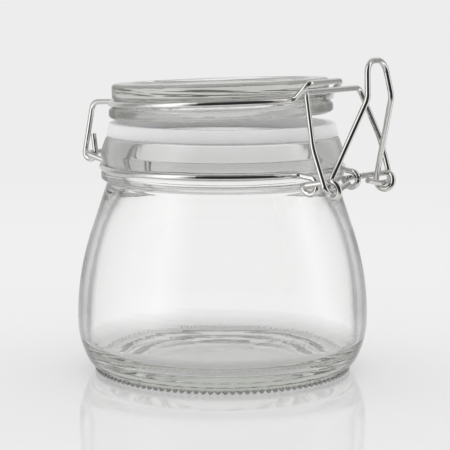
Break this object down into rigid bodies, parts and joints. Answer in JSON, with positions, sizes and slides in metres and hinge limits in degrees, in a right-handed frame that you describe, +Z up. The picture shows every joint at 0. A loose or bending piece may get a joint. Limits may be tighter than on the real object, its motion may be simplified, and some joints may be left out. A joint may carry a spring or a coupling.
{
  "type": "swing top bottle",
  "caption": "Squat glass preserving jar with a wire swing-top closure: a glass lid hinged on wire over a rubber seal, and a wire lever with a link that draws the lid down.",
  "frame": {"origin": "Centre of the foot, on the surface that the jar stands on.", "axes": "+Z is up along the jar's axis, +X points from the hinge to the clasp, +Y lies along the hinge."},
  "size_m": [0.1266, 0.1098, 0.1193],
  "materials": {
    "jar_glass": "clear, polished",
    "lid_glass": "clear, polished, faint green-grey",
    "silicone": "matte, milky white",
    "wire": "bright drawn stainless wire"
  },
  "bodies": {
    "jar": {"jar": "jar_glass", "seal": "silicone", "neck_wire": "wire"},
    "lid": {"lid": "lid_glass", "lid_wire": "wire"},
    "lever": {"lever": "wire"},
    "link": {"link": "wire"}
  },
  "joints": [
    {"name": "lid_hinge", "type": "hinge", "parent": "jar", "child": "lid", "pos_m": [-0.0542, 0, 0.0803], "axis": [0, -1, 0], "range_deg": [-2.3, 105]},
    {"name": "lever_pivot", "type": "hinge", "parent": "jar", "child": "lever", "pos_m": [0.04783, 0, 0.0744], "axis": [0, 1, 0], "range_deg": [0, 74]},
    {"name": "link_pivot", "type": "hinge", "parent": "lever", "child": "link", "pos_m": [0.05983, 0, 0.07305], "axis": [0, -1, 0], "range_deg": [0, 55]}
  ],
  "couplings": [
    {"joint": "link_pivot", "follows": "lever_pivot", "ratio": 0.73}
  ]
}
